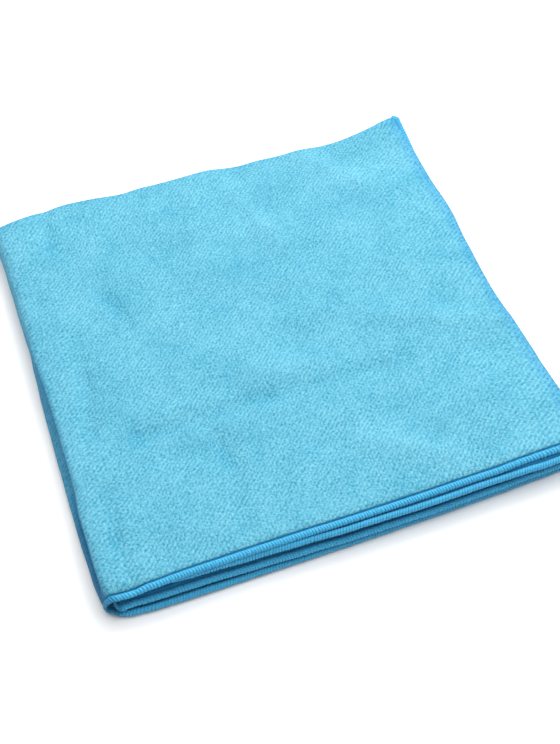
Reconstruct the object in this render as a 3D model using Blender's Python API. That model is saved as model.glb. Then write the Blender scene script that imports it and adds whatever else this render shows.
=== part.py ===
"""Square microfibre cleaning cloth, folded in quarters and lying flat.

The cloth is one sheet with an overlocked hem all round. It is folded in half with the fold along
the back, then in half again with the fold along the left side. Four layers lie on each other:
hems at the front and at the right, two small loops at the back, and at the left one loop inside
another. X runs along the front, Y towards the back, Z up, and the origin is under the middle.
"""

import math

import bpy
import numpy as np

MM = 0.001

# The flat cloth, in metres.
CLOTH_WIDTH = 400 * MM
CLOTH_LENGTH = 406 * MM
SHEET_THICKNESS = 2.6 * MM
HEM_THICKNESS = 2.8 * MM

# Half the sheet's thickness against the distance from its cut edge.
EDGE_PROFILE = (
    # distance, half thickness
    (0.0 * MM, 0.22 * HEM_THICKNESS),
    (0.6 * MM, 0.42 * HEM_THICKNESS),
    (1.6 * MM, 0.50 * HEM_THICKNESS),
    (2.8 * MM, 0.50 * HEM_THICKNESS),
    (4.0 * MM, 0.50 * HEM_THICKNESS),
    (5.2 * MM, 0.49 * HEM_THICKNESS),
    (6.5 * MM, 0.50 * SHEET_THICKNESS),
)

# The two folds and the packet that follows from them.
BACK_TURN_RADIUS = 1.75 * MM
LEFT_TURN_RADIUS = 4.25 * MM
HALF_WIDTH = CLOTH_WIDTH / 2
HALF_LENGTH = CLOTH_LENGTH / 2
WIDTH = HALF_WIDTH - math.pi * LEFT_TURN_RADIUS / 2
DEPTH = HALF_LENGTH - math.pi * BACK_TURN_RADIUS / 2
STACK_HEIGHT = 2 * (LEFT_TURN_RADIUS + BACK_TURN_RADIUS) + SHEET_THICKNESS
PAIR_LEVELS = (STACK_HEIGHT / 2 - LEFT_TURN_RADIUS, STACK_HEIGHT / 2 + LEFT_TURN_RADIUS)
LAYER_LEVELS = [pair + side * BACK_TURN_RADIUS for pair in PAIR_LEVELS for side in (-1, 1)]

# Hems are thicker than the sheet, so each lies a little higher on the one below.
HEM_LIFT = 0.40 * MM
TOP_HEM_LIFT = 0.10 * MM
HEM_LIFT_START = 5 * MM
HEM_LIFT_REACH = 12 * MM

# The mesh: how many strips each fold and each flat run between a fold and a hem has.
LEFT_TURN_STEPS = 12
BACK_TURN_STEPS = 6
RUN_STEPS = 10

# How the hems curl down: each layer bends over the last of its width.
CURL_START = 6.5 * MM
CURL_RADIUS = 3.2 * MM
RIGHT_CURL = (
    # place on the flat edge (-1 front of layer 2, 0 back fold, 1 front of the top), angle
    (-1.00, math.radians(10)),
    (-0.12, math.radians(10)),
    (0.00, math.radians(12)),
    (0.12, math.radians(62)),
    (0.30, math.radians(78)),
    (0.80, math.radians(72)),
    (1.00, math.radians(55)),
)
FRONT_CURL = (
    # place on the flat edge from the left fold, angle
    (-0.06, math.radians(0)),
    (-0.01, math.radians(4)),
    (0.02, math.radians(16)),
    (0.04, math.radians(30)),
    (0.06, math.radians(24)),
    (0.09, math.radians(8)),
    (0.14, math.radians(4)),
    (0.30, math.radians(4)),
    (0.45, math.radians(7)),
    (0.75, math.radians(7)),
    (0.90, math.radians(4)),
)

# How far each layer's front hem stands out, layer 0 at the bottom.
FRONT_HEMS = (
    # place (0 where the left fold starts, 1 right), layer 0, layer 1, layer 2, layer 3
    (-0.035, -2.4 * MM, 0.0 * MM, -3.2 * MM, -0.8 * MM),
    (-0.016, -0.4 * MM, 0.8 * MM, -3.4 * MM, -0.4 * MM),
    (0.00, 1.4 * MM, 1.2 * MM, -3.4 * MM, 0.1 * MM),
    (0.018, 3.2 * MM, 1.5 * MM, -3.2 * MM, 0.4 * MM),
    (0.06, 4.0 * MM, 2.0 * MM, -1.5 * MM, 0.6 * MM),
    (0.15, 4.3 * MM, 2.2 * MM, -0.1 * MM, 0.2 * MM),
    (0.28, 4.3 * MM, 3.0 * MM, 0.8 * MM, 0.1 * MM),
    (0.38, 4.4 * MM, 3.8 * MM, 1.7 * MM, 0.1 * MM),
    (0.48, 4.5 * MM, 4.4 * MM, 2.6 * MM, 0.2 * MM),
    (0.68, 4.2 * MM, 4.6 * MM, 3.2 * MM, 0.4 * MM),
    (0.80, 3.7 * MM, 4.1 * MM, 2.9 * MM, 0.3 * MM),
    (0.90, 3.1 * MM, 3.5 * MM, 3.2 * MM, -0.3 * MM),
    (1.00, 2.0 * MM, 2.5 * MM, 2.7 * MM, -0.6 * MM),
)
FRONT_REACH = 30 * MM

# How far the wall of the left fold stands out, at five parts of its height.
LEFT_WALL = (
    # place (0 back, 1 front), foot, lobe, crevice, under the rim, rim
    (0.00, 2.2 * MM, 2.4 * MM, 2.6 * MM, 2.8 * MM, 3.0 * MM),
    (0.10, 0.8 * MM, 0.9 * MM, 1.1 * MM, 1.3 * MM, 1.8 * MM),
    (0.30, 1.0 * MM, 1.2 * MM, 0.9 * MM, 1.2 * MM, 1.9 * MM),
    (0.38, 2.0 * MM, 2.9 * MM, -0.6 * MM, 0.6 * MM, 2.8 * MM),
    (0.47, 2.4 * MM, 3.7 * MM, -2.4 * MM, -1.2 * MM, 2.3 * MM),
    (0.53, 2.8 * MM, 4.0 * MM, -3.0 * MM, -1.6 * MM, 2.1 * MM),
    (0.64, 3.0 * MM, 4.4 * MM, -3.0 * MM, -1.6 * MM, 2.2 * MM),
    (0.73, 2.8 * MM, 4.6 * MM, -3.0 * MM, -1.4 * MM, 2.2 * MM),
    (0.80, 3.2 * MM, 4.7 * MM, -2.6 * MM, -0.8 * MM, 3.4 * MM),
    (0.92, 3.4 * MM, 4.3 * MM, -0.8 * MM, 0.4 * MM, 3.3 * MM),
    (1.00, 2.4 * MM, 3.0 * MM, 1.6 * MM, 1.6 * MM, 2.2 * MM),
)
LEFT_WALL_HEIGHTS = (0.08, 0.24, 0.54, 0.68, 0.84)
INNER_LOOP_SHARE = 0.55
LEFT_PRESS = 0.5
LEFT_PRESS_REACH = 9 * MM
LEFT_REACH = 16 * MM

# How far the two loops of the back fold stand out.
BACK_FOLDS = (
    # place (0 left, 1 right), lower loop, upper loop
    (0.00, 2.4 * MM, 3.6 * MM),
    (0.14, 3.4 * MM, 4.9 * MM),
    (0.30, 1.3 * MM, 2.0 * MM),
    (0.48, 1.3 * MM, 1.9 * MM),
    (0.60, -0.6 * MM, -0.9 * MM),
    (0.74, -1.2 * MM, -1.7 * MM),
    (0.86, -1.9 * MM, -2.8 * MM),
    (1.00, 0.2 * MM, 0.4 * MM),
)
BACK_REACH = 26 * MM

# How far each layer stands out at the right, layer 0 at the bottom.
RIGHT_HEMS = (
    # place (0 back, 1 front), layer 0, layer 1, layer 2, layer 3
    (0.00, 0.2 * MM, 0.4 * MM, 1.6 * MM, 3.0 * MM),
    (0.08, -0.8 * MM, -0.6 * MM, -0.6 * MM, 4.6 * MM),
    (0.18, -1.2 * MM, -0.8 * MM, -2.2 * MM, 5.0 * MM),
    (0.30, -0.8 * MM, -0.4 * MM, -1.8 * MM, 6.1 * MM),
    (0.43, -1.2 * MM, -0.8 * MM, -2.6 * MM, 4.3 * MM),
    (0.55, -1.6 * MM, -1.2 * MM, -3.0 * MM, 3.5 * MM),
    (0.76, -0.8 * MM, -0.4 * MM, -2.0 * MM, 6.0 * MM),
    (0.88, -0.4 * MM, 0.0 * MM, -1.2 * MM, 7.2 * MM),
    (1.00, 0.2 * MM, 0.6 * MM, -1.2 * MM, 6.0 * MM),
)
RIGHT_REACH = 30 * MM
PAIR_HEIGHTS = (0.3, 0.7)

# Wide rises and hollows of the top.
HUMPS = (
    # across, along, height, reach across, reach along
    (1.02, -0.01, 3.7 * MM, 22 * MM, 15 * MM),
    (0.82, 0.02, -0.9 * MM, 26 * MM, 12 * MM),
    (0.44, 0.12, 0.8 * MM, 16 * MM, 22 * MM),
    (0.10, 0.48, 0.4 * MM, 12 * MM, 40 * MM),
    (0.28, 0.74, -0.7 * MM, 34 * MM, 20 * MM),
    (0.62, 0.60, -0.5 * MM, 30 * MM, 14 * MM),
    (0.78, 0.86, 0.7 * MM, 28 * MM, 14 * MM),
    (0.98, 0.45, 0.8 * MM, 18 * MM, 34 * MM),
)
CORNER_ROUNDING = 0.9 * MM
CORNER_REACH = 11 * MM

CLOTH_COLOUR = (0.165, 0.565, 0.755, 1.0)
CLOTH_ROUGHNESS = 0.95


def clear_scene():
    for obj in list(bpy.data.objects):
        bpy.data.objects.remove(obj, do_unlink=True)


def smooth(share):
    """0 to 1 with a level start and end."""
    share = np.clip(share, 0.0, 1.0)
    return share * share * (3 - 2 * share)


def read_table(rows, place):
    """The columns of a table at these places, eased between its rows."""
    rows = np.array(rows)
    place = np.clip(place, rows[0, 0], rows[-1, 0])
    after = np.clip(np.searchsorted(rows[:, 0], place, side="left"), 1, len(rows) - 1)
    low, high = rows[after - 1], rows[after]
    share = smooth((place - low[..., 0]) / (high[..., 0] - low[..., 0]))
    return low[..., 1:] + (high[..., 1:] - low[..., 1:]) * share[..., None]


def read_heights(levels, values, height):
    """One value from each row of values, straight between levels."""
    result = values[..., 0].copy()
    for column in range(1, len(levels)):
        low, high = levels[column - 1], levels[column]
        share = np.clip((height - low) / (high - low), 0.0, 1.0)
        result += (values[..., column] - values[..., column - 1]) * share
    return result


def turn_over(place, radius, offset):
    """Bends a strip round a fold line: its distance from the fold's centre and its height."""
    turn_end = math.pi * radius / 2
    angle = np.clip(place, -turn_end, turn_end) / radius
    straight = np.maximum(np.abs(place) - turn_end, 0.0)
    turning = straight <= 0
    reach = np.where(turning, np.maximum(radius + offset, 0.04 * radius), radius + offset)
    return straight - reach * np.cos(angle) * turning, reach * np.sin(angle)


def near(distance, reach):
    """1 at an edge, falling to 0 at its reach."""
    return 1 - smooth(distance / reach)


def settle(middle, layer_level, in_outer_loop):
    """How far the soft cloth shifts from each point of the square packet's sheet."""
    x, y, z = np.moveaxis(middle, -1, 0)
    across, along, height = x / WIDTH, -y / DEPTH, z / STACK_HEIGHT

    front = near(DEPTH + y, FRONT_REACH)
    hems = read_table(FRONT_HEMS, across)
    outer = read_heights(LAYER_LEVELS[::3], hems[..., ::3], layer_level)
    inner = read_heights(LAYER_LEVELS[1:3], hems[..., 1:3], layer_level)
    forward = np.where(in_outer_loop, outer, inner)
    left = near(x, LEFT_REACH)
    outward = read_heights(LEFT_WALL_HEIGHTS, read_table(LEFT_WALL, along), height)
    outward = outward * np.where(in_outer_loop, 1.0, INNER_LOOP_SHARE)
    back = near(-y, BACK_REACH)
    backward = read_heights(PAIR_HEIGHTS, read_table(BACK_FOLDS, across), height)
    right = near(WIDTH - x, RIGHT_REACH)
    rightward = read_heights(LAYER_LEVELS, read_table(RIGHT_HEMS, along), layer_level)
    corner = np.exp(-(np.maximum(0.0, x) + np.maximum(0.0, -y)) / CORNER_REACH)

    edge = np.minimum(DEPTH + y, WIDTH - x)
    hem = near(edge - HEM_LIFT_START, HEM_LIFT_REACH - HEM_LIFT_START)
    rise = hem * (HEM_LIFT + (TOP_HEM_LIFT - HEM_LIFT) * height)
    over_floor = np.where(height < 1, smooth(height), height)
    for hump_across, hump_along, lift, reach_across, reach_along in HUMPS:
        off_across = (across - hump_across) * WIDTH / reach_across
        off_along = (along - hump_along) * DEPTH / reach_along
        rise = rise + lift * over_floor * np.exp(-(off_across**2 + off_along**2))

    shift_x = right * rightward - left * outward + corner * CORNER_ROUNDING
    shift_y = back * backward - front * forward - corner * CORNER_ROUNDING
    return np.stack([shift_x, shift_y, rise], axis=-1)


def curl(place, off, edge, angle):
    """Bends the last of a strip towards its lower side by this angle: its new place and offset."""
    past = np.maximum(place - (edge - CURL_START), 0.0)
    turned = np.minimum(past / CURL_RADIUS, angle)
    straight = past - turned * CURL_RADIUS
    run = CURL_RADIUS * np.sin(turned) + straight * np.cos(turned) + off * np.sin(turned)
    drop = CURL_RADIUS * (1 - np.cos(turned)) + straight * np.sin(turned)
    return np.where(past > 0, edge - CURL_START + run, place), off * np.cos(turned) - drop


def fold(across, along, off):
    """Takes points of the flat cloth over the curled hems and round the two folds."""
    up = np.where(along > 0, 1.0, -1.0)
    angle = read_table(RIGHT_CURL, along / HALF_LENGTH)[..., 0]
    across, off = curl(across, off * up, HALF_WIDTH, angle)
    off = off * up
    angle = read_table(FRONT_CURL, across / HALF_WIDTH)[..., 0]
    along, off = curl(along, off, HALF_LENGTH, angle)
    forward, level = turn_over(along, BACK_TURN_RADIUS, off)
    right, height = turn_over(across, LEFT_TURN_RADIUS, level)
    return np.stack([right, -forward, height + STACK_HEIGHT / 2], axis=-1)


def lay(flat):
    """Takes points (across, along, off) of the flat cloth to where they lie in the packet."""
    across, along, off = np.moveaxis(flat, -1, 0)
    off = off * (1 - LEFT_PRESS * np.exp(-((across / LEFT_PRESS_REACH) ** 2)))
    level = turn_over(along, BACK_TURN_RADIUS, 0.0)[1]
    level = turn_over(across, LEFT_TURN_RADIUS, level)[1] + STACK_HEIGHT / 2
    shift = settle(fold(across, along, 0.0), level, along > 0)
    return fold(across, along, off) + shift


def half_thickness(from_edge):
    distances, halves = np.array(EDGE_PROFILE).T
    return np.interp(from_edge, distances, halves)


def stations(half_side, turn_radius, turn_steps):
    """Distances from a fold line, negative on one side, where the mesh has its rows."""
    turn_end = math.pi * turn_radius / 2
    hem = [half_side - distance for distance, _ in reversed(EDGE_PROFILE)]
    turn = np.linspace(0, turn_end, turn_steps // 2 + 1)
    even = np.linspace(0, 1, RUN_STEPS + 1)
    crowded = (1 - np.cos(math.pi * even)) / 2
    run = turn_end + (hem[0] - turn_end) * (even + crowded) / 2
    one_side = np.concatenate([turn, run[1:-1], hem])
    return np.concatenate([-one_side[:0:-1], one_side])


def skin_faces(numbers):
    """Quads of a grid of point numbers."""
    corners = (numbers[:-1, :-1], numbers[1:, :-1], numbers[1:, 1:], numbers[:-1, 1:])
    return np.stack([corner.ravel() for corner in corners], axis=-1)


def rim_faces(outer, inner):
    """Quads between the outer and inner numbers of the points along one cut edge."""
    return np.stack([outer[:-1], inner[:-1], inner[1:], outer[1:]], axis=-1)


def make_faces(columns, rows):
    """Triangles of the closed sheet: two skins and the cut edge between them."""
    outer = np.arange(columns * rows).reshape(columns, rows)
    inner = outer + columns * rows
    quads = np.concatenate(
        [
            skin_faces(outer)[:, ::-1],
            skin_faces(inner),
            rim_faces(outer[::-1, 0], inner[::-1, 0]),
            rim_faces(outer[:, -1], inner[:, -1]),
            rim_faces(outer[0, :], inner[0, :]),
            rim_faces(outer[-1, ::-1], inner[-1, ::-1]),
        ]
    )
    return np.concatenate([quads[:, [0, 1, 2]], quads[:, [0, 2, 3]]])


def make_points():
    """The points of both skins where they lie in the packet."""
    across = stations(HALF_WIDTH, LEFT_TURN_RADIUS, LEFT_TURN_STEPS)
    along = stations(HALF_LENGTH, BACK_TURN_RADIUS, BACK_TURN_STEPS)
    u, v = np.meshgrid(across, along, indexing="ij")
    half = half_thickness(np.minimum(HALF_WIDTH - np.abs(u), HALF_LENGTH - np.abs(v)))
    skins = [lay(np.stack([u, v, side * half], axis=-1)) for side in (1, -1)]
    return np.stack(skins), u.shape


def rest_on_floor(points):
    """Puts the lowest points at z = 0 and the middle of the footprint over the origin."""
    low, high = points.min(axis=0), points.max(axis=0)
    middle = (low + high) / 2
    return points - np.array([middle[0], middle[1], low[2]])


def make_material():
    material = bpy.data.materials.new("cloth_fabric")
    material.use_nodes = True
    shader = material.node_tree.nodes["Principled BSDF"]
    shader.inputs["Base Color"].default_value = CLOTH_COLOUR
    shader.inputs["Roughness"].default_value = CLOTH_ROUGHNESS
    shader.inputs["Metallic"].default_value = 0.0
    return material


def make_cloth():
    skins, (columns, rows) = make_points()
    points = rest_on_floor(skins.reshape(-1, 3))
    data = bpy.data.meshes.new("cloth")
    data.from_pydata(points.tolist(), [], make_faces(columns, rows).tolist())
    data.shade_smooth()
    data.materials.append(make_material())
    data.update()
    bpy.context.scene.collection.objects.link(bpy.data.objects.new("cloth", data))


clear_scene()
make_cloth()
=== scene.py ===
"""A microfibre cloth folded in quarters, on a pale floor in soft studio light.

Every piece is laid out on the flat cloth, where a point is (across, along, off the middle of the
sheet), and then goes through one function, lay, which folds it and lets it settle. So the sheet,
its overlock thread and its pile always fit each other.
"""

import math

import bpy
import numpy as np
from mathutils import Matrix, Vector


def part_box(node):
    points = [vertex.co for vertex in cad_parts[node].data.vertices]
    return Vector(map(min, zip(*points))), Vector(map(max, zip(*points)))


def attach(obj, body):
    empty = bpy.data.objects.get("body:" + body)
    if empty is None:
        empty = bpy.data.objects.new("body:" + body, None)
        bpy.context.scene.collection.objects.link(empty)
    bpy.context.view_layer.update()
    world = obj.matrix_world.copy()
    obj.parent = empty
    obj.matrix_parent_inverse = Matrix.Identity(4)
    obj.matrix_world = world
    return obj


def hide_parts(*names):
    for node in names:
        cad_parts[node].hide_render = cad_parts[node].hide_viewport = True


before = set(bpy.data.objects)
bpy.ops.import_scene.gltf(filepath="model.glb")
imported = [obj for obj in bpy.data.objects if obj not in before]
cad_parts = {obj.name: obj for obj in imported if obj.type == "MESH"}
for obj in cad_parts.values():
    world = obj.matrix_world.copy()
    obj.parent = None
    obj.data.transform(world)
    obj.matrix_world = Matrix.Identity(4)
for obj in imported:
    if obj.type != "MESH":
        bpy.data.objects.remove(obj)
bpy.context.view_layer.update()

MM = 0.001
SEED = 20

# The flat cloth.
CLOTH_WIDTH = 400 * MM
CLOTH_LENGTH = 406 * MM
HALF_WIDTH = CLOTH_WIDTH / 2
HALF_LENGTH = CLOTH_LENGTH / 2
SHEET_HALF = 1.3 * MM

# The folded packet: two pairs of layers, each pair folded along the back, and then both along
# the left.
BACK_TURN_RADIUS = 1.75 * MM
LEFT_TURN_RADIUS = 4.25 * MM
# A skin inside a turn stays at least this share of the turn's radius from its centre.
CLOSEST_TO_CENTRE = 0.04
WIDTH = HALF_WIDTH - math.pi * LEFT_TURN_RADIUS / 2
DEPTH = HALF_LENGTH - math.pi * BACK_TURN_RADIUS / 2
STACK_HEIGHT = 2 * (LEFT_TURN_RADIUS + BACK_TURN_RADIUS + SHEET_HALF)
PAIR_LEVELS = (STACK_HEIGHT / 2 - LEFT_TURN_RADIUS, STACK_HEIGHT / 2 + LEFT_TURN_RADIUS)
LAYER_LEVELS = [pair + side * BACK_TURN_RADIUS for pair in PAIR_LEVELS for side in (-1, 1)]

# Half the sheet's thickness against the distance from its cut edge: a round hem, the furrow that
# the needle thread pulls in, and the shoulder of the pile behind it.
HEM_PROFILE = (
    # distance, half thickness
    (0.00 * MM, 0.00 * MM),
    (0.05 * MM, 0.34 * MM),
    (0.20 * MM, 0.66 * MM),
    (0.45 * MM, 0.96 * MM),
    (0.85 * MM, 1.18 * MM),
    (1.30 * MM, 1.25 * MM),
    (1.75 * MM, 1.16 * MM),
    (2.15 * MM, 0.86 * MM),
    (2.40 * MM, 0.44 * MM),
    (2.62 * MM, 0.26 * MM),
    (2.86 * MM, 0.50 * MM),
    (3.10 * MM, 1.08 * MM),
    (3.60 * MM, 1.40 * MM),
    (5.50 * MM, 1.42 * MM),
    (9.00 * MM, SHEET_HALF),
)
# The rounding of the hem, and how far in from the edge the furrow and the shoulder lie.
HEM_RADIUS = 1.28 * MM
FURROW = 2.40 * MM
SHOULDER = 3.10 * MM
# How far each layer rises at its hem, layer 0 at the bottom.
HEM_LIFTS = (0.42 * MM, 0.60 * MM, 0.95 * MM, 0.05 * MM)
HEM_LIFT_FULL = 1.5 * MM
HEM_LIFT_REACH = 4.5 * MM

# How the hems curl down: each layer bends over the last of its width.
CURL_START = 6.5 * MM
CURL_RADIUS = 3.2 * MM
RIGHT_CURL = (
    # place on the flat edge (-1 front of layer 2, 0 back fold, 1 front of the top), angle
    (-1.00, math.radians(10)),
    (-0.12, math.radians(10)),
    (0.00, math.radians(12)),
    (0.12, math.radians(62)),
    (0.30, math.radians(78)),
    (0.80, math.radians(72)),
    (1.00, math.radians(55)),
)
FRONT_CURL = (
    # place on the flat edge from the left fold, angle
    (-0.06, math.radians(0)),
    (-0.01, math.radians(4)),
    (0.02, math.radians(16)),
    (0.04, math.radians(30)),
    (0.06, math.radians(24)),
    (0.09, math.radians(8)),
    (0.14, math.radians(4)),
    (0.30, math.radians(4)),
    (0.45, math.radians(7)),
    (0.75, math.radians(7)),
    (0.90, math.radians(4)),
)

# How far each layer's front hem stands out, layer 0 at the bottom.
FRONT_HEMS = (
    # place (0 where the left fold starts, 1 right), layer 0, layer 1, layer 2, layer 3
    (-0.035, -2.4 * MM, 0.0 * MM, -3.2 * MM, -0.8 * MM),
    (-0.016, -0.4 * MM, 0.8 * MM, -3.4 * MM, -0.4 * MM),
    (0.00, 1.4 * MM, 1.2 * MM, -3.4 * MM, 0.1 * MM),
    (0.018, 2.5 * MM, 0.9 * MM, -3.2 * MM, 0.4 * MM),
    (0.06, 3.3 * MM, 1.4 * MM, -1.5 * MM, 0.2 * MM),
    (0.15, 3.6 * MM, 1.6 * MM, -0.1 * MM, -0.2 * MM),
    (0.28, 3.6 * MM, 2.4 * MM, 0.8 * MM, -0.3 * MM),
    (0.38, 3.7 * MM, 3.2 * MM, 1.7 * MM, -0.1 * MM),
    (0.48, 3.8 * MM, 3.8 * MM, 2.6 * MM, 0.2 * MM),
    (0.68, 3.5 * MM, 4.0 * MM, 3.2 * MM, 0.4 * MM),
    (0.80, 3.0 * MM, 3.5 * MM, 2.9 * MM, 0.3 * MM),
    (0.90, 2.4 * MM, 2.9 * MM, 3.2 * MM, -0.3 * MM),
    (1.00, 1.3 * MM, 1.9 * MM, 2.7 * MM, -0.6 * MM),
)
FRONT_REACH = 30 * MM
# How far the lowest hems stay behind the CAD cloth's.
FRONT_DRAWN_IN = 0.7 * MM

# How far the wall of the left fold stands out, at five parts of its height.
LEFT_WALL = (
    # place (0 back, 1 front), foot, lobe, crevice, under the rim, rim
    (0.00, 2.2 * MM, 2.4 * MM, 2.6 * MM, 2.8 * MM, 3.0 * MM),
    (0.10, 0.8 * MM, 0.9 * MM, 1.1 * MM, 1.3 * MM, 1.8 * MM),
    (0.30, 1.0 * MM, 1.2 * MM, 0.9 * MM, 1.2 * MM, 1.9 * MM),
    (0.38, 2.0 * MM, 2.9 * MM, -0.6 * MM, 0.6 * MM, 2.8 * MM),
    (0.47, 2.4 * MM, 3.7 * MM, -2.4 * MM, -1.2 * MM, 2.3 * MM),
    (0.53, 2.8 * MM, 4.0 * MM, -3.0 * MM, -1.6 * MM, 2.1 * MM),
    (0.64, 3.0 * MM, 4.4 * MM, -3.0 * MM, -1.6 * MM, 2.2 * MM),
    (0.73, 2.8 * MM, 4.6 * MM, -3.0 * MM, -1.4 * MM, 2.2 * MM),
    (0.80, 3.2 * MM, 4.7 * MM, -2.6 * MM, -0.8 * MM, 3.4 * MM),
    (0.92, 3.4 * MM, 4.3 * MM, -0.8 * MM, 0.4 * MM, 3.3 * MM),
    (1.00, 2.4 * MM, 3.0 * MM, 1.6 * MM, 1.6 * MM, 2.2 * MM),
)
LEFT_WALL_HEIGHTS = (0.08, 0.24, 0.54, 0.68, 0.84)
INNER_LOOP_SHARE = 0.55
LEFT_PRESS = 0.5
LEFT_PRESS_REACH = 9 * MM
LEFT_REACH = 16 * MM

# How far the two loops of the back fold stand out.
BACK_FOLDS = (
    # place (0 left, 1 right), lower loop, upper loop
    (0.00, 3.0 * MM, 4.8 * MM),
    (0.14, 3.8 * MM, 5.8 * MM),
    (0.30, 1.6 * MM, 2.5 * MM),
    (0.48, 1.3 * MM, 1.9 * MM),
    (0.60, -0.6 * MM, -0.9 * MM),
    (0.74, -1.2 * MM, -1.7 * MM),
    (0.86, -1.9 * MM, -2.8 * MM),
    (1.00, 0.2 * MM, 0.4 * MM),
)
BACK_REACH = 26 * MM

# How far each layer stands out at the right, layer 0 at the bottom.
RIGHT_HEMS = (
    # place (0 back, 1 front), layer 0, layer 1, layer 2, layer 3
    (0.00, 0.2 * MM, 0.4 * MM, 1.6 * MM, 3.0 * MM),
    (0.08, -0.8 * MM, -0.6 * MM, -0.6 * MM, 4.6 * MM),
    (0.18, -1.2 * MM, -0.8 * MM, -2.2 * MM, 5.0 * MM),
    (0.30, -0.8 * MM, -0.4 * MM, -1.8 * MM, 6.1 * MM),
    (0.43, -1.2 * MM, -0.8 * MM, -2.6 * MM, 4.3 * MM),
    (0.55, -1.6 * MM, -1.2 * MM, -3.0 * MM, 3.5 * MM),
    (0.76, -0.8 * MM, -0.4 * MM, -2.0 * MM, 6.0 * MM),
    (0.88, -0.4 * MM, 0.0 * MM, -1.2 * MM, 7.2 * MM),
    (1.00, 0.2 * MM, 0.6 * MM, -1.2 * MM, 6.0 * MM),
)
RIGHT_REACH = 30 * MM
PAIR_HEIGHTS = (0.3, 0.7)

# Wide rises and hollows of the top.
HUMPS = (
    # across, along, height, reach across, reach along
    (1.02, -0.01, 3.7 * MM, 22 * MM, 15 * MM),
    (0.82, 0.02, -0.9 * MM, 26 * MM, 12 * MM),
    (0.44, 0.12, 0.8 * MM, 16 * MM, 22 * MM),
    (0.10, 0.48, 0.4 * MM, 12 * MM, 40 * MM),
    (0.28, 0.74, -0.7 * MM, 34 * MM, 20 * MM),
    (0.62, 0.60, -0.5 * MM, 30 * MM, 14 * MM),
    (0.78, 0.86, 0.7 * MM, 28 * MM, 14 * MM),
    (0.98, 0.45, 0.8 * MM, 18 * MM, 34 * MM),
)
CORNER_ROUNDING = 0.9 * MM
CORNER_REACH = 11 * MM

# The creases of the top: soft troughs (height below 0) and ridges along a short line each. Past
# its ends a crease fades over CREASE_END times its half width.
CREASE_END = 1.1
CREASES = (
    # (across, along) of its two ends, height, half width
    ((0.13, 0.662), (0.42, 0.661), -1.16 * MM, 4.2 * MM),
    ((0.42, 0.661), (0.68, 0.675), -0.70 * MM, 4.6 * MM),
    ((0.68, 0.675), (0.90, 0.700), -0.46 * MM, 5.0 * MM),
    ((0.287, 0.70), (0.295, 0.79), -0.78 * MM, 3.8 * MM),
    ((0.295, 0.79), (0.278, 0.95), -0.54 * MM, 4.2 * MM),
    ((0.069, 0.36), (0.063, 0.48), -0.70 * MM, 3.4 * MM),
    ((0.063, 0.48), (0.043, 0.62), -0.93 * MM, 3.2 * MM),
    ((0.155, 0.24), (0.195, 0.37), -0.70 * MM, 4.0 * MM),
    ((0.037, 0.76), (0.032, 0.88), -0.85 * MM, 2.6 * MM),
    ((0.032, 0.88), (0.034, 0.98), -0.78 * MM, 2.4 * MM),
    ((0.094, 0.00), (0.078, 0.09), -0.78 * MM, 3.0 * MM),
    ((0.110, 0.11), (0.124, 0.12), -0.70 * MM, 5.0 * MM),
    ((0.500, 0.31), (0.520, 0.31), -0.46 * MM, 4.5 * MM),
    ((0.505, 0.42), (0.522, 0.41), -0.46 * MM, 4.5 * MM),
    ((0.880, 0.52), (0.886, 0.57), -0.62 * MM, 5.0 * MM),
    ((0.165, 0.731), (0.266, 0.745), -0.54 * MM, 6.0 * MM),
    ((0.690, 0.82), (0.715, 0.87), -0.54 * MM, 6.0 * MM),
    ((0.520, 0.02), (0.600, 0.28), 0.78 * MM, 4.6 * MM),
    ((0.736, 0.00), (0.835, 0.15), 0.93 * MM, 5.5 * MM),
    ((0.730, 0.54), (0.985, 0.655), 0.85 * MM, 5.0 * MM),
    ((0.580, 0.83), (0.740, 0.94), 0.78 * MM, 5.5 * MM),
    ((0.425, 0.593), (0.56, 0.61), 0.54 * MM, 6.0 * MM),
    ((0.400, 0.16), (0.420, 0.26), 0.46 * MM, 6.0 * MM),
)

# Fine unevenness: the shortest and longest wave, and the height.
RIPPLE_WAVES = 14
TOP_RIPPLES = ((18 * MM, 60 * MM), 0.16 * MM)
SHEET_RIPPLES = ((9 * MM, 24 * MM), 0.05 * MM)

# How close together the sheet's rows are: on the layers that show, on the hidden ones, and in the
# turns.
FINE_STEP = 1.7 * MM
COARSE_STEP = 4.0 * MM
LEFT_TURN_STEPS = 13
BACK_TURN_STEPS = 9

# The overlock stitches round the hem.
STITCH_PITCH = 1.20 * MM
STITCH_SLANT = 1.0 * MM
STITCH_SCATTER = 0.05 * MM
STITCH_MARGIN = 0.8 * MM
STITCH_RINGS = 12
STITCH_SIDES = 5
THREAD_RADIUS = 0.19 * MM
THREAD_WIDTH = 0.54 * MM
THREAD_END_SHARE = 0.55
THREAD_BULGE = 0.07 * MM
THREAD_MIN_INSET = 0.30 * MM

# The pile, in mm of the flat cloth: slanting rows of loops, and ribs along the cloth.
ROW_PITCH = 1.62
ROW_DIRECTION = (math.sqrt(0.5), math.sqrt(0.5))
RIB_PITCH = 1.38
RIB_DIRECTION = (1.0, 0.0)
ROW_WANDER = (2.4, 2.4, 0.0)
PILE_RELIEF = 0.68 * MM
PILE_SHADE = (0.034, 0.264, 0.402, 1)
PILE_LIGHT = (0.176, 0.490, 0.612, 1)

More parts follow.
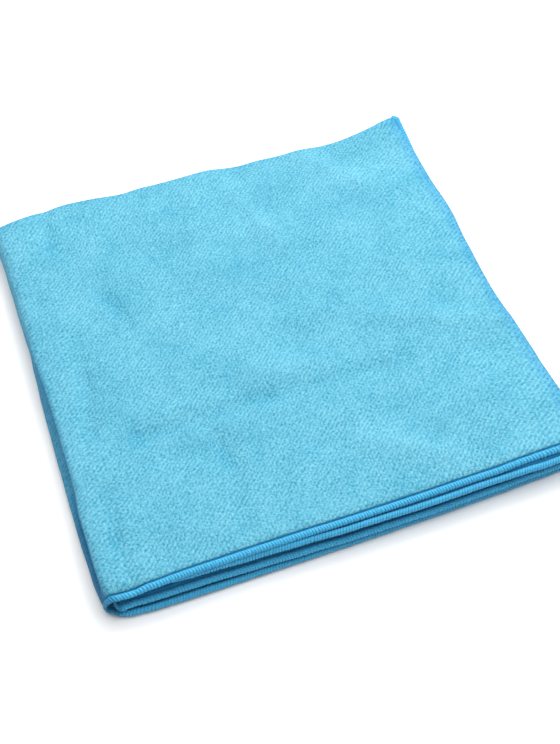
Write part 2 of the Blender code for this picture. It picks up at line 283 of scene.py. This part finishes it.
# Painted shade on the pile, in mm of the flat cloth: crevice, folds, right edge, hidden layers.
CREVICE_STARTS = (60.0, 95.0)
CREVICE_WIDENS = (135.0, 165.0)
CREVICE_MIDDLE = (3.2, 0.2)
CREVICE_WIDTH = (1.5, 3.2)
WALL_MIDDLE = -1.0
WALL_WIDTH = 4.5
BACK_MIDDLE = 0.6
BACK_WIDTH = 1.8
RIGHT_EDGE = (191.0, 196.0)
HIDDEN_LAYERS = (-4.0, -12.0)
FOLD_SHARE = 0.45
CREVICE_SHARE = 0.85
HIDDEN_SHARE = 0.8
PAINTED_HIDDEN_SHADE = (0.018, 0.300, 0.640, 1)
PAINTED_FOLD_SHADE = (0.006, 0.190, 0.440, 1)
PAINTED_CREVICE_SHADE = (0.002, 0.100, 0.260, 1)

# The knit in the furrow beside the hem, dark with painted shade of the furrow.
FURROW_KNIT_SHADE_DARK = (0.008, 0.140, 0.290, 1)
FURROW_KNIT_SHADE_LIGHT = (0.060, 0.300, 0.460, 1)
THREAD_SHADE = (0.018, 0.320, 0.580, 1)
THREAD_LIGHT = (0.070, 0.435, 0.710, 1)
# Painted shade on the thread at the left fold: its colour, the distances from the fold where it comes
# in, and its share.
SHADED_THREAD_BLUE = (0.010, 0.170, 0.350, 1)
THREAD_SHADE_REACH = (8.0, 5.0)
THREAD_SHADE_AMOUNT = 0.75

FLOOR_HALF = 2.0
FLOOR_SHADE = (0.88, 0.88, 0.88, 1)
FLOOR_LIGHT = (0.90, 0.90, 0.90, 1)
WORLD_STRENGTH = 0.25
LIGHTS = (
    # name, place, size, power
    ("soft_top", (0.22, 0.15, 1.1), (1.9, 1.9), 27.0),
    ("soft_back", (0.60, 0.75, 0.95), (0.7, 0.7), 13.0),
)

CAMERA_AZIMUTH = -15.82
CAMERA_ELEVATION = 53.815
CAMERA_ROLL = -4.374
CAMERA_DISTANCE = 570.4 * MM
CAMERA_TARGET = Vector((-1.0, -14.7, 1.6)) * MM
CAMERA_LENS = 63.12
CAMERA_SENSOR = 36.0

random = np.random.default_rng(SEED)


def smooth(share):
    """0 to 1 with a level start and end."""
    share = np.clip(share, 0.0, 1.0)
    return share * share * (3 - 2 * share)


def read_table(rows, place):
    """The columns of a table at these places, eased between its rows."""
    rows = np.array(rows)
    place = np.clip(place, rows[0, 0], rows[-1, 0])
    after = np.clip(np.searchsorted(rows[:, 0], place, side="left"), 1, len(rows) - 1)
    low, high = rows[after - 1], rows[after]
    share = smooth((place - low[..., 0]) / (high[..., 0] - low[..., 0]))
    return low[..., 1:] + (high[..., 1:] - low[..., 1:]) * share[..., None]


def read_heights(levels, values, height):
    """One value from each row of values, straight between levels."""
    result = values[..., 0].copy()
    for column in range(1, len(levels)):
        low, high = levels[column - 1], levels[column]
        share = np.clip((height - low) / (high - low), 0.0, 1.0)
        result += (values[..., column] - values[..., column - 1]) * share
    return result


def ripples(across, along, kind, seed):
    """A smooth random surface, from a kind's shortest and longest wave and its height."""
    lengths, strength = kind
    draw = np.random.default_rng(seed)
    total = np.zeros_like(across)
    for _ in range(RIPPLE_WAVES):
        heading = draw.uniform(0, 2 * math.pi)
        wave = 2 * math.pi / draw.uniform(*lengths)
        phase = draw.uniform(0, 2 * math.pi)
        total += np.sin(wave * (across * math.cos(heading) + along * math.sin(heading)) + phase)
    return strength * total / math.sqrt(RIPPLE_WAVES / 2)


def turn_over(place, radius, offset):
    """Bends a strip round a fold line: its distance from the fold's centre and its height."""
    turn_end = math.pi * radius / 2
    angle = np.clip(place, -turn_end, turn_end) / radius
    straight = np.maximum(np.abs(place) - turn_end, 0.0)
    turning = straight <= 0
    reach = np.where(turning, np.maximum(radius + offset, CLOSEST_TO_CENTRE * radius), radius + offset)
    return straight - reach * np.cos(angle) * turning, reach * np.sin(angle)


def near(distance, reach):
    """1 at an edge, falling to 0 at its reach."""
    return 1 - smooth(distance / reach)


def crease_height(x, y):
    """The height of all the creases over the plane of the top."""
    total = np.zeros_like(x)
    for start, end, height, width in CREASES:
        start_x, start_y = start[0] * WIDTH, -start[1] * DEPTH
        run_x, run_y = end[0] * WIDTH - start_x, -end[1] * DEPTH - start_y
        length = math.hypot(run_x, run_y)
        along = ((x - start_x) * run_x + (y - start_y) * run_y) / length
        off = ((x - start_x) * run_y - (y - start_y) * run_x) / length
        past = np.maximum(np.maximum(-along, along - length), 0.0)
        total += height * np.exp(-((off / width) ** 2) - (past / (CREASE_END * width)) ** 2)
    return total


def settle(middle, layer_level, in_outer_loop):
    """How far the soft cloth shifts from each point of the square packet's sheet."""
    x, y, z = np.moveaxis(middle, -1, 0)
    across, along, height = x / WIDTH, -y / DEPTH, z / STACK_HEIGHT

    front = near(DEPTH + y, FRONT_REACH)
    hems = read_table(FRONT_HEMS, across)
    outer = read_heights(LAYER_LEVELS[::3], hems[..., ::3], layer_level)
    inner = read_heights(LAYER_LEVELS[1:3], hems[..., 1:3], layer_level)
    forward = np.where(in_outer_loop, outer, inner)
    left = near(x, LEFT_REACH)
    outward = read_heights(LEFT_WALL_HEIGHTS, read_table(LEFT_WALL, along), height)
    outward = outward * np.where(in_outer_loop, 1.0, INNER_LOOP_SHARE)
    back = near(-y, BACK_REACH)
    backward = read_heights(PAIR_HEIGHTS, read_table(BACK_FOLDS, across), height)
    right = near(WIDTH - x, RIGHT_REACH)
    rightward = read_heights(LAYER_LEVELS, read_table(RIGHT_HEMS, along), layer_level)
    corner = np.exp(-(np.maximum(0.0, x) + np.maximum(0.0, -y)) / CORNER_REACH)

    edge = np.minimum(DEPTH + y, WIDTH - x)
    hem = near(edge - HEM_LIFT_FULL, HEM_LIFT_REACH - HEM_LIFT_FULL)
    rise = hem * np.interp(layer_level, LAYER_LEVELS, HEM_LIFTS)
    over_floor = np.where(height < 1, smooth(height), height)
    for hump_across, hump_along, lift, reach_across, reach_along in HUMPS:
        off_across = (across - hump_across) * WIDTH / reach_across
        off_along = (along - hump_along) * DEPTH / reach_along
        rise = rise + lift * over_floor * np.exp(-(off_across**2 + off_along**2))
    rise = rise + over_floor * crease_height(x, y)
    rise = rise + over_floor * ripples(x, y, TOP_RIPPLES, SEED + 1)

    shift_x = right * rightward - left * outward + corner * CORNER_ROUNDING
    shift_y = back * backward - front * forward - corner * CORNER_ROUNDING
    return np.stack([shift_x, shift_y, rise], axis=-1)


def curl(place, off, edge, angle):
    """Bends the last of a strip towards its lower side by this angle: its new place and offset."""
    past = np.maximum(place - (edge - CURL_START), 0.0)
    turned = np.minimum(past / CURL_RADIUS, angle)
    straight = past - turned * CURL_RADIUS
    run = CURL_RADIUS * np.sin(turned) + straight * np.cos(turned) + off * np.sin(turned)
    drop = CURL_RADIUS * (1 - np.cos(turned)) + straight * np.sin(turned)
    return np.where(past > 0, edge - CURL_START + run, place), off * np.cos(turned) - drop


def fold(across, along, off):
    """Takes points of the flat cloth over the curled hems and round the two folds."""
    up = np.where(along > 0, 1.0, -1.0)
    angle = read_table(RIGHT_CURL, along / HALF_LENGTH)[..., 0]
    across, off = curl(across, off * up, HALF_WIDTH, angle)
    off = off * up
    angle = read_table(FRONT_CURL, across / HALF_WIDTH)[..., 0]
    along, off = curl(along, off, HALF_LENGTH, angle)
    forward, level = turn_over(along, BACK_TURN_RADIUS, off)
    right, height = turn_over(across, LEFT_TURN_RADIUS, level)
    return np.stack([right, -forward, height + STACK_HEIGHT / 2], axis=-1)


def lay(flat):
    """Takes points (across, along, off) of the flat cloth to where they lie in the packet."""
    across, along, off = np.moveaxis(flat, -1, 0)
    off = off * (1 - LEFT_PRESS * np.exp(-((across / LEFT_PRESS_REACH) ** 2)))
    off = off + ripples(across, along, SHEET_RIPPLES, SEED + 2)
    level = turn_over(along, BACK_TURN_RADIUS, 0.0)[1]
    level = turn_over(across, LEFT_TURN_RADIUS, level)[1] + STACK_HEIGHT / 2
    shift = settle(fold(across, along, 0.0), level, along > 0)
    return fold(across, along, off) + shift


def half_thickness(from_edge):
    """Half the sheet's thickness at these distances from its cut edge."""
    distances, halves = np.array(HEM_PROFILE).T
    return np.interp(from_edge, distances, halves)


def stations(half_side, turn_radius, turn_steps, fine_step):
    """Distances from a fold line where the sheet has its rows: coarse on the side below 0."""
    turn_end = math.pi * turn_radius / 2
    hem = [half_side - distance for distance, _ in reversed(HEM_PROFILE)]
    sides = []
    for step in (COARSE_STEP, fine_step):
        turn = np.linspace(0, turn_end, turn_steps)
        run = np.linspace(turn_end, hem[0], round((hem[0] - turn_end) / step) + 1)
        sides.append(np.concatenate([turn, run[1:-1], hem]))
    return np.concatenate([-sides[0][:0:-1], sides[1]])


def add_mesh(name, points, faces, flat, material):
    """A piece made of these points and faces, with each point's place on the flat cloth."""
    data = bpy.data.meshes.new(name)
    data.from_pydata(points.tolist(), [], faces.tolist())
    data.shade_smooth()
    places = data.attributes.new("flat", "FLOAT_VECTOR", "POINT")
    places.data.foreach_set("vector", flat.astype(np.float32).ravel())
    data.materials.append(material)
    data.update()
    piece = bpy.data.objects.new(name, data)
    bpy.context.scene.collection.objects.link(piece)
    return piece


def grid_faces(first, columns, rows):
    """Quads of a grid of points numbered from first, row by row."""
    numbers = first + np.arange(columns * rows).reshape(columns, rows)
    corners = (numbers[:-1, :-1], numbers[1:, :-1], numbers[1:, 1:], numbers[:-1, 1:])
    return np.stack([corner.ravel() for corner in corners], axis=-1)


def make_sheet(shift, pile, thread, ground):
    """The cloth itself: an outer and an inner skin that meet along the cut edge."""
    across = stations(HALF_WIDTH, LEFT_TURN_RADIUS, LEFT_TURN_STEPS, FINE_STEP)
    along = stations(HALF_LENGTH, BACK_TURN_RADIUS, BACK_TURN_STEPS, FINE_STEP)
    columns, rows = len(across), len(along)
    u, v = np.meshgrid(across, along, indexing="ij")
    half = half_thickness(np.minimum(HALF_WIDTH - np.abs(u), HALF_LENGTH - np.abs(v)))
    outer = np.stack([u, v, half], axis=-1)
    inner = np.stack([u, v, -half], axis=-1)
    flat = np.concatenate([outer.reshape(-1, 3), inner.reshape(-1, 3)])
    inner_faces = grid_faces(columns * rows, columns, rows)[:, ::-1]
    faces = np.concatenate([grid_faces(0, columns, rows), inner_faces])
    numbers = np.arange(columns * rows).reshape(columns, rows)
    rim = np.zeros((columns, rows), bool)
    rim[[0, -1], :] = True
    rim[:, [0, -1]] = True
    partner = np.arange(2 * columns * rows)
    partner[columns * rows + numbers[rim]] = numbers[rim]
    faces = partner[faces]
    used, faces = np.unique(faces, return_inverse=True)
    faces = faces.reshape(-1, 4)
    flat = flat[used]
    piece = add_mesh("cloth_sheet", lay(flat) + shift, faces, flat, pile)
    piece.data.materials.append(thread)
    piece.data.materials.append(ground)
    over_turns = np.array((LEFT_TURN_RADIUS, BACK_TURN_RADIUS)) * math.pi / 2
    packet = np.abs(flat[:, :2]) - over_turns
    # The creases' heights, which the pile's colour turns into painted shade in the troughs and painted
    # light on the ridges.
    crease = piece.data.attributes.new("crease", "FLOAT", "POINT")
    crease.data.foreach_set("value", crease_height(packet[:, 0], -packet[:, 1]) / MM)
    middle = np.abs(flat[faces].mean(axis=1))
    inset = np.minimum(HALF_WIDTH - middle[:, 0], HALF_LENGTH - middle[:, 1])
    slot = np.where(inset < FURROW, 1, np.where(inset < SHOULDER, 2, 0))
    piece.data.polygons.foreach_set("material_index", slot.astype(np.int32))
    return piece


def side_to_flat(side, run, inset, off):
    """A point beside one side of the cloth: how far along it, how far in, how far off it."""
    edge = (HALF_LENGTH, HALF_WIDTH)[side % 2] - inset
    turned = ((run, edge), (edge, -run), (-run, -edge), (-edge, run))[side]
    return np.stack([*turned, off], axis=-1)


def tube_faces(count, rings, sides):
    """Quads of count tubes, each of rings rings of points, and a cap at both ends."""
    ring = np.arange(sides)
    step = np.arange(rings - 1)[:, None] * sides
    first = step + ring
    after = step + (ring + 1) % sides
    quads = np.stack([first, after, after + sides, first + sides], axis=-1).reshape(-1, 4)
    return (quads[None] + (np.arange(count) * rings * sides)[:, None, None]).reshape(-1, 4)


def tubes(run, inset, off, radius, width, sides):
    """Rings of points round paths in (run, inset, off), one path per row, width wide."""
    path = np.stack([run, inset, off], axis=-1)
    ahead = np.gradient(path, axis=1)
    ahead /= np.linalg.norm(ahead, axis=-1, keepdims=True)
    out = np.cross(ahead, np.array([1.0, 0.0, 0.0]))
    out /= np.linalg.norm(out, axis=-1, keepdims=True)
    beside = np.cross(ahead, out)
    turn = np.linspace(0, 2 * math.pi, sides, endpoint=False)
    outward = out[:, :, None] * np.cos(turn)[:, None] * radius[..., None, None]
    sideways = beside[:, :, None] * np.sin(turn)[:, None] * width[..., None, None]
    return path[:, :, None] + outward + sideways


def hem_path(share):
    """Inset and height of the thread's path over the hem: 0 at the upper furrow, 1 at the lower."""
    flat_run = FURROW - HEM_RADIUS
    curve = math.pi * HEM_RADIUS
    whole = 2 * flat_run + curve
    run = share * whole
    angle = np.clip((run - flat_run) / HEM_RADIUS, 0, math.pi)
    inset = HEM_RADIUS - HEM_RADIUS * np.sin(angle)
    inset = inset + np.maximum(flat_run - run, 0) + np.maximum(run - flat_run - curve, 0)
    side = np.cos(angle)
    half = half_thickness(np.maximum(inset, THREAD_MIN_INSET))
    height = np.where(inset < HEM_RADIUS, side * half_thickness(HEM_RADIUS), np.sign(side) * half)
    return inset, height


def make_stitches(shift, material):
    """The looper thread: slanted turns over the hem from furrow to furrow."""
    count = round(CLOTH_WIDTH / STITCH_PITCH)
    share = np.linspace(0, 1, STITCH_RINGS)
    swell = np.sin(math.pi * share)
    inset, height = hem_path(share)
    flats = []
    for side in range(4):
        half_side = (HALF_WIDTH, HALF_LENGTH)[side % 2]
        place = ((np.arange(count) + 0.5) / count * 2 - 1) * (half_side - STITCH_MARGIN)
        place = place + random.normal(0, STITCH_SCATTER, count)
        slant = STITCH_SLANT * swell
        run = place[:, None] + slant[None] * random.uniform(0.8, 1.2, (count, 1))
        bulge = THREAD_BULGE * random.uniform(0.6, 1.3, (count, 1)) * np.ones(STITCH_RINGS)
        out = np.where(share < 0.5, 1, -1)
        off = height[None] + bulge * out * np.abs(np.cos(math.pi * share))
        inward = inset[None] - bulge * swell
        taper = (THREAD_END_SHARE + (1 - THREAD_END_SHARE) * swell) * np.ones((count, 1))
        ring = tubes(run, inward, off, THREAD_RADIUS * taper, THREAD_WIDTH * taper, STITCH_SIDES)
        flats.append(side_to_flat(side, ring[..., 0], ring[..., 1], ring[..., 2]).reshape(-1, 3))
    flat = np.concatenate(flats)
    faces = tube_faces(4 * count, STITCH_RINGS, STITCH_SIDES)
    return add_mesh("overlock_stitches", lay(flat) + shift, faces, flat, material)


def shader_tree(name):
    """A new material, its nodes, and its shader."""
    material = bpy.data.materials.new(name)
    material.use_nodes = True
    tree = material.node_tree
    return material, tree, tree.nodes["Principled BSDF"]


def add_node(tree, kind, inputs=(), **settings):
    """A node with these inputs, each a number, a colour or another node's output."""
    node = tree.nodes.new(kind)
    for key, value in settings.items():
        setattr(node, key, value)
    for key, value in dict(inputs).items():
        if isinstance(value, bpy.types.NodeSocket):
            tree.links.new(value, node.inputs[key])
        else:
            node.inputs[key].default_value = value
    return node


def add_math(tree, operation, first, second=0.0, third=0.0):
    inputs = {0: first, 1: second, 2: third}
    return add_node(tree, "ShaderNodeMath", inputs, operation=operation).outputs[0]


def add_vector_math(tree, operation, first, second, third=(0.0, 0.0, 0.0)):
    inputs = {0: first, 1: second, 2: third}
    return add_node(tree, "ShaderNodeVectorMath", inputs, operation=operation)


def add_noise(tree, place, scale, detail, roughness=0.5):
    inputs = {"Vector": place, "Scale": scale, "Detail": detail, "Roughness": roughness}
    return add_node(tree, "ShaderNodeTexNoise", inputs)


def add_bump(tree, height, distance, strength=1.0):
    inputs = {"Height": height, "Distance": distance, "Strength": strength}
    return add_node(tree, "ShaderNodeBump", inputs).outputs[0]


def add_wave(tree, place, period, direction):
    """A row pattern along a direction (across, along) of the flat cloth, from 0 to 1."""
    phase = add_vector_math(tree, "DOT_PRODUCT", place, (*direction, 0.0)).outputs["Value"]
    turned = add_math(tree, "MULTIPLY", phase, 2 * math.pi / period)
    return add_math(tree, "MULTIPLY_ADD", add_math(tree, "SINE", turned), 0.5, 0.5)


def add_ramp(tree, amount, low, low_colour, high, high_colour):
    """A colour that goes from one to the other as the amount goes from low to high."""
    node = add_node(tree, "ShaderNodeValToRGB", {"Fac": amount})
    first, last = node.color_ramp.elements
    first.position, first.color = low, low_colour
    last.position, last.color = high, high_colour
    return node.outputs[0]


def map_range(tree, value, limits, results=(0.0, 1.0)):
    """Goes evenly from the first result to the second as the value goes from limit to limit."""
    inputs = {"Value": value, "From Min": limits[0], "From Max": limits[1]}
    inputs.update({"To Min": results[0], "To Max": results[1]})
    return add_node(tree, "ShaderNodeMapRange", inputs).outputs[0]


def mix_colours(tree, amount, first, second):
    inputs = {"Factor": amount, "A": first, "B": second}
    return add_node(tree, "ShaderNodeMix", inputs, data_type="RGBA").outputs["Result"]


def bell(tree, value, middle, width):
    """1 where the value is the middle one, falling off over the width."""
    off = add_math(tree, "DIVIDE", add_math(tree, "SUBTRACT", value, middle), width)
    squared = add_math(tree, "MULTIPLY", off, off)
    return add_math(tree, "EXPONENT", add_math(tree, "MULTIPLY", squared, -1.0))


def flat_place(tree):
    """The place on the flat cloth, in mm, that the pieces carry."""
    flat = add_node(tree, "ShaderNodeAttribute", attribute_name="flat").outputs["Vector"]
    return add_vector_math(tree, "MULTIPLY", flat, (1000, 1000, 1000)).outputs[0]


def paint_fold_shade(tree, in_mm, colour):
    """Painted shade in deep blue: at the folds, in the left wall's crevice, at the right edge, between
    the pairs.
    """
    across, along, _ = add_node(tree, "ShaderNodeSeparateXYZ", {0: in_mm}).outputs
    middle = map_range(tree, along, CREVICE_WIDENS, CREVICE_MIDDLE)
    width = map_range(tree, along, CREVICE_WIDENS, CREVICE_WIDTH)
    reach = map_range(tree, along, CREVICE_STARTS, (0.0, CREVICE_SHARE))
    crevice = add_math(tree, "MULTIPLY", bell(tree, across, middle, width), reach)
    wall = add_math(tree, "MULTIPLY", bell(tree, across, WALL_MIDDLE, WALL_WIDTH), FOLD_SHARE)
    back = add_math(tree, "MULTIPLY", bell(tree, along, BACK_MIDDLE, BACK_WIDTH), FOLD_SHARE)
    right = map_range(tree, across, RIGHT_EDGE, (0.0, FOLD_SHARE))
    folds = add_math(tree, "MAXIMUM", add_math(tree, "MAXIMUM", wall, back), right)
    hidden = map_range(tree, along, HIDDEN_LAYERS, (0.0, HIDDEN_SHARE))
    colour = mix_colours(tree, hidden, colour, PAINTED_HIDDEN_SHADE)
    colour = mix_colours(tree, folds, colour, PAINTED_FOLD_SHADE)
    return mix_colours(tree, crevice, colour, PAINTED_CREVICE_SHADE)


def make_pile_material():
    """Looped microfibre pile: slanting rows of small loops, fine grain and soft patches."""
    material, tree, shader = shader_tree("microfibre_pile")
    in_mm = flat_place(tree)
    wander = add_noise(tree, in_mm, 0.30, 2.0).outputs["Color"]
    place = add_vector_math(tree, "MULTIPLY_ADD", wander, ROW_WANDER, in_mm).outputs[0]
    rows = add_wave(tree, place, ROW_PITCH, ROW_DIRECTION)
    ribs = add_wave(tree, place, RIB_PITCH, RIB_DIRECTION)
    rows_show = add_noise(tree, in_mm, 0.06, 2.0).outputs[0]
    weave = add_math(tree, "MULTIPLY", rows, rows_show)
    weave = add_math(tree, "ADD", weave, add_math(tree, "MULTIPLY", ribs, 0.22))
    grain = add_noise(tree, in_mm, 0.95, 2.5, 0.62).outputs[0]
    fibre = add_noise(tree, in_mm, 3.0, 2.0, 0.6).outputs[0]
    relief = add_math(tree, "MULTIPLY_ADD", weave, 0.42, add_math(tree, "MULTIPLY", grain, 1.25))
    relief = add_math(tree, "MULTIPLY_ADD", fibre, 0.25, relief)

    # Painted shade in relief and crease troughs, painted light on crease ridges; wide patches vary the
    # tone.
    patches = add_noise(tree, in_mm, 0.055, 3.0, 0.55).outputs[0]
    crease = add_node(tree, "ShaderNodeAttribute", attribute_name="crease").outputs["Fac"]
    tone = add_math(tree, "MULTIPLY_ADD", patches, 0.34, relief)
    tone = add_math(tree, "MULTIPLY_ADD", tone, 0.5, 0.027)
    tone = add_math(tree, "MULTIPLY_ADD", crease, 0.032, tone)
    # Painted shade: deeper blue at the folds, in the crevice, at the right edge and between the pairs.
    colour = paint_fold_shade(tree, in_mm, add_ramp(tree, tone, 0.40, PILE_SHADE, 0.72, PILE_LIGHT))
    tree.links.new(colour, shader.inputs["Base Color"])
    tree.links.new(add_bump(tree, relief, PILE_RELIEF), shader.inputs["Normal"])
    shader.inputs["Roughness"].default_value = 0.75
    shader.inputs["Specular IOR Level"].default_value = 0.12
    shader.inputs["Sheen Weight"].default_value = 0.04
    shader.inputs["Sheen Roughness"].default_value = 0.5
    shader.inputs["Sheen Tint"].default_value = (0.7, 0.93, 1.0, 1)
    return material


def make_furrow_knit_and_shade():
    """The bare knit at the bottom of the furrow beside the hem, darkened with painted shade of the
    furrow.
    """
    material, tree, shader = shader_tree("furrow_knit_and_shade")
    fibre = add_noise(tree, flat_place(tree), 1.4, 3.0, 0.6).outputs[0]
    colour = add_ramp(tree, fibre, 0.35, FURROW_KNIT_SHADE_DARK, 0.70, FURROW_KNIT_SHADE_LIGHT)
    tree.links.new(colour, shader.inputs["Base Color"])
    shader.inputs["Roughness"].default_value = 0.9
    shader.inputs["Specular IOR Level"].default_value = 0.1
    return material


def make_thread_material():
    """The looper thread: slightly shiny filaments, with painted shade in deeper blue where it turns at
    the left fold.
    """
    material, tree, shader = shader_tree("overlock_thread")
    in_mm = flat_place(tree)
    fibre = add_noise(tree, in_mm, 3.0, 3.0, 0.6).outputs[0]
    colour = add_ramp(tree, fibre, 0.3, THREAD_SHADE, 0.7, THREAD_LIGHT)
    across = add_node(tree, "ShaderNodeSeparateXYZ", {0: in_mm}).outputs[0]
    from_fold = add_math(tree, "ABSOLUTE", across)
    # Painted shade where the thread turns at the left fold.
    at_fold = map_range(tree, from_fold, THREAD_SHADE_REACH, (0.0, THREAD_SHADE_AMOUNT))
    tree.links.new(mix_colours(tree, at_fold, colour, SHADED_THREAD_BLUE), shader.inputs["Base Color"])
    tree.links.new(add_bump(tree, fibre, 0.15 * MM, 0.8), shader.inputs["Normal"])
    shader.inputs["Roughness"].default_value = 0.62
    shader.inputs["Specular IOR Level"].default_value = 0.3
    shader.inputs["Sheen Weight"].default_value = 0.1
    return material


def make_floor():
    """A large pale floor, almost even."""
    material, tree, shader = shader_tree("pale_floor")
    where = add_node(tree, "ShaderNodeNewGeometry").outputs["Position"]
    mottle = add_noise(tree, where, 6.0, 2.0).outputs[0]
    colour = add_ramp(tree, mottle, 0.0, FLOOR_SHADE, 1.0, FLOOR_LIGHT)
    tree.links.new(colour, shader.inputs["Base Color"])
    shader.inputs["Roughness"].default_value = 0.9
    shader.inputs["Specular IOR Level"].default_value = 0.1
    data = bpy.data.meshes.new("floor")
    corners = [(x * FLOOR_HALF, y * FLOOR_HALF, 0) for x, y in ((-1, -1), (1, -1), (1, 1), (-1, 1))]
    data.from_pydata(corners, [], [(0, 1, 2, 3)])
    data.materials.append(material)
    floor = bpy.data.objects.new("floor", data)
    bpy.context.scene.collection.objects.link(floor)


def add_area_light(name, place, size, power):
    """A rectangular lamp that shines at the origin."""
    data = bpy.data.lights.new(name, "AREA")
    data.shape = "RECTANGLE"
    data.size, data.size_y = size
    data.energy = power
    light = bpy.data.objects.new(name, data)
    light.location = place
    light.rotation_euler = (-Vector(place)).to_track_quat("-Z", "Y").to_euler()
    bpy.context.scene.collection.objects.link(light)


def light_the_scene():
    """A soft studio: even light from all round, a wide lamp above and a small one behind."""
    world = bpy.data.worlds.new("studio")
    world.use_nodes = True
    background = world.node_tree.nodes["Background"]
    background.inputs["Color"].default_value = (1, 1, 1, 1)
    background.inputs["Strength"].default_value = WORLD_STRENGTH
    bpy.context.scene.world = world
    for light in LIGHTS:
        add_area_light(*light)
    bpy.context.scene.view_settings.view_transform = "Standard"


def place_camera():
    """The camera looks at its target from the front, a little to the left, and from above."""
    azimuth = math.radians(CAMERA_AZIMUTH)
    elevation = math.radians(CAMERA_ELEVATION)
    roll = math.radians(CAMERA_ROLL)
    ahead = Vector(
        (
            -math.sin(azimuth) * math.cos(elevation),
            math.cos(azimuth) * math.cos(elevation),
            -math.sin(elevation),
        )
    )
    level_right = Vector((math.cos(azimuth), math.sin(azimuth), 0.0))
    level_up = level_right.cross(ahead)
    right = level_right * math.cos(roll) + level_up * math.sin(roll)
    up = level_up * math.cos(roll) - level_right * math.sin(roll)
    data = bpy.data.cameras.new("camera")
    data.lens = CAMERA_LENS
    data.sensor_width = CAMERA_SENSOR
    data.sensor_fit = "AUTO"
    camera = bpy.data.objects.new("camera", data)
    turn = Matrix((right, up, -ahead)).transposed().to_4x4()
    camera.matrix_world = Matrix.Translation(CAMERA_TARGET - ahead * CAMERA_DISTANCE) @ turn
    bpy.context.scene.collection.objects.link(camera)
    bpy.context.scene.camera = camera


def find_shift():
    """What takes the packet from its fold lines' corner to where the CAD cloth lies."""
    low, high = (np.array(corner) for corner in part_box("cloth"))
    across = stations(HALF_WIDTH, LEFT_TURN_RADIUS, LEFT_TURN_STEPS, COARSE_STEP)
    along = stations(HALF_LENGTH, BACK_TURN_RADIUS, BACK_TURN_STEPS, COARSE_STEP)
    u, v = np.meshgrid(across, along, indexing="ij")
    half = half_thickness(np.minimum(HALF_WIDTH - np.abs(u), HALF_LENGTH - np.abs(v)))
    places = np.concatenate([lay(np.stack([u, v, side * half], axis=-1)) for side in (1, -1)])
    places = places.reshape(-1, 3)
    shift = low - places.min(axis=0)
    shift[1] += FRONT_DRAWN_IN
    shift[0] = (low[0] + high[0]) / 2 - (places[:, 0].min() + places[:, 0].max()) / 2
    return shift


place_camera()
light_the_scene()
make_floor()
shift = find_shift()
pile = make_pile_material()
thread = make_thread_material()
sheet = make_sheet(shift, pile, thread, make_furrow_knit_and_shade())
stitches = make_stitches(shift, thread)
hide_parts("cloth")
for piece in (sheet, stitches):
    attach(piece, "root")
